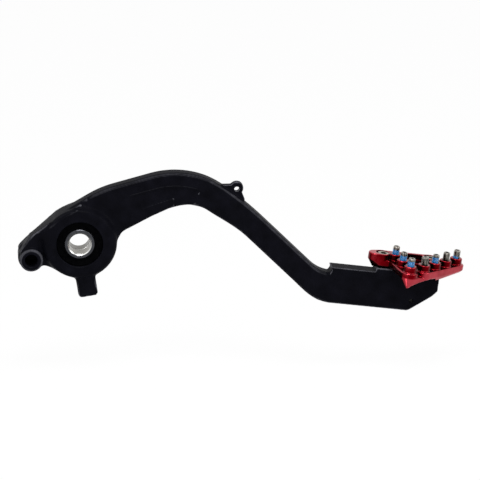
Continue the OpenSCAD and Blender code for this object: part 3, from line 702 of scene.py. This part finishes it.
# arm: sizes in mm. Heights run outboard along each bore, a place is a point on that bore's axis, and an
# outline's points are x and z
armShape = {
    "voxel": 0.6,
    "rounds": 5,
    "meltRounds": 60,
    "crisp": 38,
    "past": 30,
    "plugGrip": 0.3,
    # hub: bore, seal pockets, and a disc that fills the rim out
    "bore": 13.48,
    "pocket": 16.22,
    "pocketGrip": 0.6,
    "outerFloor": 6.2,
    "innerFloor": -5.9,
    "outerFace": 11.85,
    "innerFace": -10.2,
    "lip": 0.5,
    "hubDisc": [(0, -6.2), (24.8, -6.2), (25.6, -5.4), (25.6, 8.6), (22.6, 11.6), (0, 11.6)],
    "hubMiddle": (0.7, 0, -0.3),
    # push-rod boss with its blind bore
    "rodAt": (-33.853, 0, -10.350),
    "rodPlug": [(0, -5), (9.1, -5), (9.1, 4), (8.2, 7), (8.2, 11.8), (7, 13), (0, 13)],
    "rodBore": 4.5,
    "rodFace": 13,
    "rodFloor": -4,
    "rodCone": 1.2,
    "rodLip": 0.6,
    # spring lug and lanyard hole
    "lugAt": (110.504, -2.666, 34.885),
    "lugBore": 1.9,
    "lugHalf": 2.3,
    "lugR": 4.7,
    "lugMiddle": (110.5, -2.666, 35.5),
    "lanyardAt": (233.649, -9.8, -48.670),
    "lanyardBore": 1.6,
    "lanyardHalf": 6,
    # the heel web's lower edge curves up between boss and hub: near depth, far depth and outline
    "heelCarve": (-9, 12, [(-28.2, -19.4), (-27.3, -17.4), (-25, -16.7), (-18.8, -18.7), (-14.5, -22),
        (-12, -30), (-28.2, -30)]),
    "blocks": [
        # its top edge stands a little prouder
        ("heelTop", 1, 9.5, [(-42.9, -6), (-41.3, -3.5), (-37.0, 0.7), (-15.6, 19.3), (-11.3, 21.8),
            (-7, 23.7), (-3, 25.2), (-3, 10), (-36, -10)]),
        # the outboard face runs on from the hub to a ridge along the top of the heel
        ("ridge", -9, 3, [(-34.6, 5.3, -6.5), (-30.6, 8.3, -7.8), (-18.0, 17.3, -8.8), (-5.6, 23.5, -9.0),
            (1.5, 28.3, -7.6), (8, 16, -11.4), (0, 19.5, -11.5), (-10, 16.8, -11.5), (-17, 9.5, -11.4),
            (-21, 3, -9)]),
        # and rounds down over the rod boss
        ("bossTop", -9, 3, [(-41.9, -9, -9.5), (-41.2, -4.6, -8.5), (-38.8, -1, -7.5), (-34.6, 5.3, -6.5),
            (-30.6, 8.3, -7.8), (-26, 0, -5.5), (-30, -10, -9)]),
        # top and end of the seat block
        ("seatBlock", -15.8, -3.8, [(176.2, -21.3), (202.7, -25.1), (253.7, -32.4), (252.6, -42.2),
            (248.9, -45.6), (239.2, -51.3), (233.5, -54.3), (212, -48), (180, -36)]),
        # fillets on both sides of the spring lug
        ("lugFillet", -4.9, -0.4, [(99.8, 38.3), (103.3, 37.8), (106.1, 38.2), (108.6, 37.1),
            (108.6, 32.4), (99.8, 34.1)]),
        ("lugFillet", -4.9, -0.4, [(111.0, 36.7), (113.2, 34.8), (114.5, 29.1), (116.4, 26.8),
            (113.2, 24.9), (109.6, 31.6)]),
        # fuller metal under the root of the arm, with the fillet into the hub
        ("root", -5.6, 5.6, [(49.4, 16.6), (58.0, 20.6), (66.5, 24.0), (66.5, 30), (49.4, 25)]),
        ("root", -5.6, 5.6, [(32.6, 7.9), (49.6, 16.6), (49.6, 25), (32.6, 18)]),
        ("root", -5.6, 5.6, [(29.6, 5.6), (33.0, 8.0), (33.0, 18), (24, 14)]),
        ("root", -5.6, 5.6, [(25.4, -2), (29.8, 5.7), (27, 14), (20, 6)]),
    ],
}

# extra blending on the arm's outboard side, in mm: it takes in the hub's rim and the heel web below the
# ridge line, which is a point and a slope, and leaves most of the rod boss alone
meltShape = {
    "depth": -1.5,
    "fade": 2,
    "innerR": 17,
    "outerR": 40,
    "armR": 36,
    "radiusFade": 6,
    "ridge": (-30.6, 8.3, 0.624),
    "ridgeEnd": 6,
    "ridgeGap": 1.5,
    "ridgeLeast": 0.1,
    "bossAt": (-33.85, -10.35),
    "bossR": 9.5,
    "bossDepth": -9,
    "bossShare": 0.15,
}


def fade(value, span, least=0):
    return min(1, max(least, value / span))


# share of the extra blending at a point of the arm
def hubMelt(v):
    m = meltShape
    if v.y > m["depth"]:
        return 0
    radius = math.hypot(v.x, v.z)
    share = fade(radius - m["innerR"], m["radiusFade"]) * fade(m["outerR"] - radius, m["radiusFade"])
    if v.x < m["ridgeEnd"]:
        x, z, slope = m["ridge"]
        above = v.z - (z + slope * (v.x - x))
        share *= fade(-m["ridgeGap"] - above, m["fade"], m["ridgeLeast"])
    if v.x > 0:
        share *= fade(m["armR"] - radius, m["radiusFade"])
    x, z = m["bossAt"]
    if v.y < m["bossDepth"] and math.hypot(v.x - x, v.z - z) < m["bossR"]:
        share *= m["bossShare"]
    return share * fade(m["depth"] - v.y, m["fade"])


def makeArm(s):
    past, lip, grip = s["past"], s["lip"], s["plugGrip"]
    pocketMouth = s["pocket"] + lip + 1
    extra = [
        turnedShape("hubPlug", rodProfile(s["pocket"] + s["pocketGrip"], s["innerFace"], s["outerFace"])),
        turnedShape("hubDisc", s["hubDisc"], s["hubMiddle"]),
        turnedShape("rodPlug", s["rodPlug"], s["rodAt"]),
        turnedShape("lugPlug", rodProfile(s["lugBore"] + grip, -s["lugHalf"], s["lugHalf"]), s["lugAt"]),
        turnedShape("lanyardPlug", rodProfile(s["lanyardBore"] + grip, -s["lanyardHalf"], s["lanyardHalf"]),
            s["lanyardAt"]),
        turnedShape("lugBody", rodProfile(s["lugR"], -s["lugHalf"], s["lugHalf"]), s["lugMiddle"]),
    ]
    extra += [blockShape(name, outline, near, far) for name, near, far, outline in s["blocks"]]
    cutters = [
        turnedShape("bore", rodProfile(s["bore"], -past, past)),
        turnedShape("outerPocket", [(0, s["outerFloor"]), (s["pocket"], s["outerFloor"]),
            (s["pocket"], s["outerFace"] - lip), (pocketMouth, s["outerFace"] + 1), (pocketMouth, past),
            (0, past)], steps=128),
        turnedShape("innerPocket", [(0, -past), (pocketMouth, -past), (pocketMouth, s["innerFace"] - 1),
            (s["pocket"], s["innerFace"] + lip), (s["pocket"], s["innerFloor"]), (0, s["innerFloor"])],
            steps=128),
        turnedShape("rodBore", [(0, s["rodFloor"] - s["rodCone"]), (s["rodBore"], s["rodFloor"]),
            (s["rodBore"], s["rodFace"] - s["rodLip"]), (s["rodBore"] + s["rodLip"] + 1, s["rodFace"] + 1),
            (0, s["rodFace"] + 1)], s["rodAt"]),
        turnedShape("lugBore", rodProfile(s["lugBore"], -past, past), s["lugAt"]),
        turnedShape("lanyardBore", rodProfile(s["lanyardBore"], -past, past), s["lanyardAt"]),
    ]
    near, far, outline = s["heelCarve"]
    carve = [blockShape("heelCarve", outline, near, far)]
    softened("forgedArm", "arm", s, armBlack, carve, extra, cutters, hubMelt)


makeArm(armShape)


# tip: the lower edge of its front bar is scooped out beside the corner, between two depths
tipShape = {
    "voxel": 0.32,
    "rounds": 3,
    "crisp": 38,
    "scoop": (-50, -17, [(227.46, -28.66), (234.62, -27.42), (243.42, -26.96), (248.41, -28.3),
        (248.41, -46), (227.46, -46)]),
}


def makeTip(s):
    near, far, outline = s["scoop"]
    carve = [blockShape("scoop", outline, near, far)]
    softened("machinedTip", "brake_tip", s, tipRed, carve)


makeTip(tipShape)


# a turned piece that replaces its CAD node
def turnedPiece(name, node, profile, material, body):
    work = bmesh.new()
    turnedSolid(work, profile, steps=128)
    finishPiece(name, work, material, body, node)


# collar: sizes in mm, outboard positive; a shallow relief groove runs round the middle of the bore
collarShape = {
    "bore": 7.5,
    "outside": 10.5,
    "outer": 10.5,
    "inner": -10.9,
    "chamfer": 0.8,
    "edge": 0.35,
    "groove": 0.3,
    "grooveNear": -0.2,
    "grooveFar": -1.4,
    "grooveSide": 0.2,
}


def makeCollar(c):
    bore, outside, chamfer, edge = c["bore"], c["outside"], c["chamfer"], c["edge"]
    profile = [(bore, c["inner"] + chamfer), (bore + chamfer, c["inner"]), (outside - edge, c["inner"]),
        (outside, c["inner"] + edge), (outside, c["outer"] - edge), (outside - edge, c["outer"]),
        (bore + chamfer, c["outer"]), (bore, c["outer"] - chamfer), (bore, c["grooveNear"]),
        (bore + c["groove"], c["grooveNear"] - c["grooveSide"]),
        (bore + c["groove"], c["grooveFar"] + c["grooveSide"]), (bore, c["grooveFar"])]
    turnedPiece("pivotCollar", "pivot_collar", profile, collarSteel, "collar")


makeCollar(collarShape)


# dust seals: rubber with a moulded step in its face, and a lip that curls up on the collar. Sizes in mm;
# the face runs from rim to lip, as radius and depth below the rim
sealShape = {
    "rubber": 16.2,
    "lip": 10.53,
    "outerBack": 6.2,
    "innerBack": -5.9,
    "width": 4,
    "rim": [(0, 0.4), (0.15, 0.1), (0.4, 0)],
    "face": [(14.9, 0), (14.6, 0.25), (14.4, 0.9), (13.6, 1.05), (12.6, 1.05), (12.1, 0.9), (11.6, 0.4),
        (11.2, 0.2), (10.8, 0.3)],
    "lipEnd": (0.6, 0.7),
    "lipBack": 0.8,
}


def makeSeal(name, node, s, back, way):
    lip, rubber, width = s["lip"], s["rubber"], s["width"]
    loop = [(lip, s["lipEnd"][0]), (lip + s["lipBack"], 0), (rubber, 0)]
    loop += [(rubber - inward, width - down) for inward, down in s["rim"]]
    loop += [(r, width - down) for r, down in s["face"]]
    loop += [(lip, width - s["lipEnd"][1])]
    profile = [(r, back + way * height) for r, height in loop]
    turnedPiece(name, node, profile, sealRubber, "pedal")


makeSeal("outerDustSeal", "outer_seal", sealShape, sealShape["outerBack"], 1)
makeSeal("innerDustSeal", "inner_seal", sealShape, sealShape["innerBack"], -1)
print("collar and seals made")


# screws and studs: turned body with a hexagon socket, and a rolled thread wound round it
def spanAlong(node, direction):
    heights = [v.co.dot(direction) for v in nodes[node].data.vertices]
    low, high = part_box(node)
    middle = (low + high) / 2
    foot = middle + direction * (min(heights) - middle.dot(direction))
    return foot, max(heights) - min(heights)


def atRadius(v, r):
    return abs(v.co.xy.length - r * mm) < solidDistance


# the profile runs from the axis at the foot to the axis in the socket, as radius and height in mm
def turnedBody(profile, hexRings, acrossFlats, steps=48):
    work = bmesh.new()
    row = [work.verts.new((r * mm, 0, z * mm)) for r, z in profile]
    edges = [work.edges.new(pair) for pair in zip(row, row[1:])]
    bmesh.ops.spin(work, geom=row + edges, cent=(0, 0, 0), axis=(0, 0, 1), angle=math.tau, steps=steps,
        use_merge=True)
    bmesh.ops.remove_doubles(work, verts=work.verts, dist=joinDistance)
    for r, z in hexRings:
        for v in work.verts:
            if atRadius(v, r) and abs(v.co.z - z * mm) < solidDistance:
                turn = math.atan2(v.co.y, v.co.x) % math.radians(60) - math.radians(30)
                v.co.xy = v.co.xy.normalized() * acrossFlats / 2 / math.cos(turn) * mm
    return work


# M5 thread in mm, as the studs and the tip screws have it: the foot is chamfered, and the ridge's base
# lies a little under the root
threadShape = {
    "crest": 2.48,
    "root": 2.1,
    "pitch": 0.8,
    "steps": 24,
    "base": 0.12,
    "halfBase": 0.46,
    "halfCrest": 0.08,
    "start": 0.7,
    "foot": 0.3,
    "footHeight": 0.4,
}


def screwFoot(s):
    return [(0, 0), (s["root"] - s["foot"], 0), (s["root"], s["footHeight"])]


# a closed ridge, wound by a spin that climbs one pitch a turn
def woundThread(work, t, end):
    base, crest, start = t["root"] - t["base"], t["crest"], t["start"]
    wide, narrow = t["pitch"] * t["halfBase"], t["pitch"] * t["halfCrest"]
    corners = [(base, -wide), (crest, -narrow), (crest, narrow), (base, wide)]
    ridge = [work.verts.new((r * mm, 0, (z + start) * mm)) for r, z in corners]
    face = work.faces.new(ridge)
    turns = (end - start) / t["pitch"]
    steps = int(turns * t["steps"])
    bmesh.ops.spin(work, geom=[face] + list(face.edges) + ridge, cent=(0, 0, 0), axis=(0, 0, 1),
        angle=math.tau * turns, steps=steps, dvec=(0, 0, (end - start) * mm / steps))


# studs: M5 set screws in mm; a patch is how far the blue reaches above the boss, and it is turned a
# little further round on each stud
studShape = threadShape | {
    "chamfer": 0.5,
    "rim": 0.12,
    "rimHeight": 0.1,
    "runOut": 0.55,
    "hex": 2.5,
    "deep": 2.2,
    "cone": 0.5,
    "proud": 5.6,
    "patch": {1: 3.2, 2: 3.3, 3: 3.5, 5: 3.9, 7: 1.6},
    "patchFade": 0.8,
    "patchTurn": 95,
    "patchStep": 11,
    "patchWidth": 1.6,
}


def makeStud(number, s):
    node = "stud_%d" % number
    foot, length = spanAlong(node, seatUp)
    length /= mm
    mouth = s["hex"] / 2 / math.cos(math.radians(30))
    profile = screwFoot(s) + [(s["root"], length - s["chamfer"]), (s["root"], length - s["rimHeight"]),
        (s["root"] - s["rim"], length), (mouth, length), (mouth, length - s["deep"]),
        (0, length - s["deep"] - s["cone"])]
    work = turnedBody(profile, [(mouth, length), (mouth, length - s["deep"])], s["hex"])
    woundThread(work, s, length - s["runOut"])
    boss = length - s["proud"]
    towards = math.radians(s["patchTurn"] + s["patchStep"] * number)
    layer = work.verts.layers.float.new("threadLock")
    if number in s["patch"]:
        for v in work.verts:
            around = math.cos(math.atan2(v.co.y, v.co.x) + towards)
            left = boss + s["patch"][number] - v.co.z / mm
            upTo = min(1, max(0, left / s["patchFade"] + 0.5))
            v[layer] = upTo * min(1, max(0, around * s["patchWidth"] + 1.0))
    bmesh.ops.transform(work, matrix=Matrix.Translation(foot) @ seatTurn, verts=work.verts)
    finishPiece("gripStud%d" % number, work, studSteel, "pedal", node)


for number in range(1, 8):
    makeStud(number, studShape)
print("studs made")


# tip screws: M5 socket heads in mm, with a straight knurl round the rim whose every second row of
# points stands back
screwShape = threadShape | {
    "headR": 4.25,
    "headH": 5,
    "round": 0.45,
    "hex": 4,
    "deep": 2.5,
    "mouthEdge": (0.25, 0.2),
    "cone": 0.9,
    "runOut": 0.5,
    "knurlStep": 3.75,
    "knurlDepth": 0.978,
}


def makeTipScrew(name, node, s):
    foot, length = spanAlong(node, seatUp)
    length /= mm
    shank = length - s["headH"]
    mouth = s["hex"] / 2 / math.cos(math.radians(30))
    mouthOut, mouthDown = s["mouthEdge"]
    rim, curve = s["headR"] - s["round"], s["round"]
    arc = [(rim + curve * math.sin(math.radians(a)), length - curve + curve * math.cos(math.radians(a)))
        for a in (90, 60, 30, 0)]
    profile = screwFoot(s) + [(s["root"], shank), (s["headR"], shank)] + arc + [
        (mouth + mouthOut, length), (mouth, length - mouthDown), (mouth, length - s["deep"]),
        (0, length - s["deep"] - s["cone"])]
    socket = [(mouth, length - mouthDown), (mouth, length - s["deep"])]
    work = turnedBody(profile, socket, s["hex"], 96)
    for v in work.verts:
        if atRadius(v, s["headR"]) and v.co.z > shank * mm:
            row = round(math.degrees(math.atan2(v.co.y, v.co.x)) / s["knurlStep"])
            v.co.xy *= s["knurlDepth"] if row % 2 else 1
    woundThread(work, s, shank - s["runOut"])
    bmesh.ops.transform(work, matrix=Matrix.Translation(foot) @ seatTurn, verts=work.verts)
    finishPiece(name, work, screwSteel, "pedal", node)


makeTipScrew("rearTipScrew", "rear_tip_screw", screwShape)
makeTipScrew("frontTipScrew", "front_tip_screw", screwShape)
print("tip screws made")
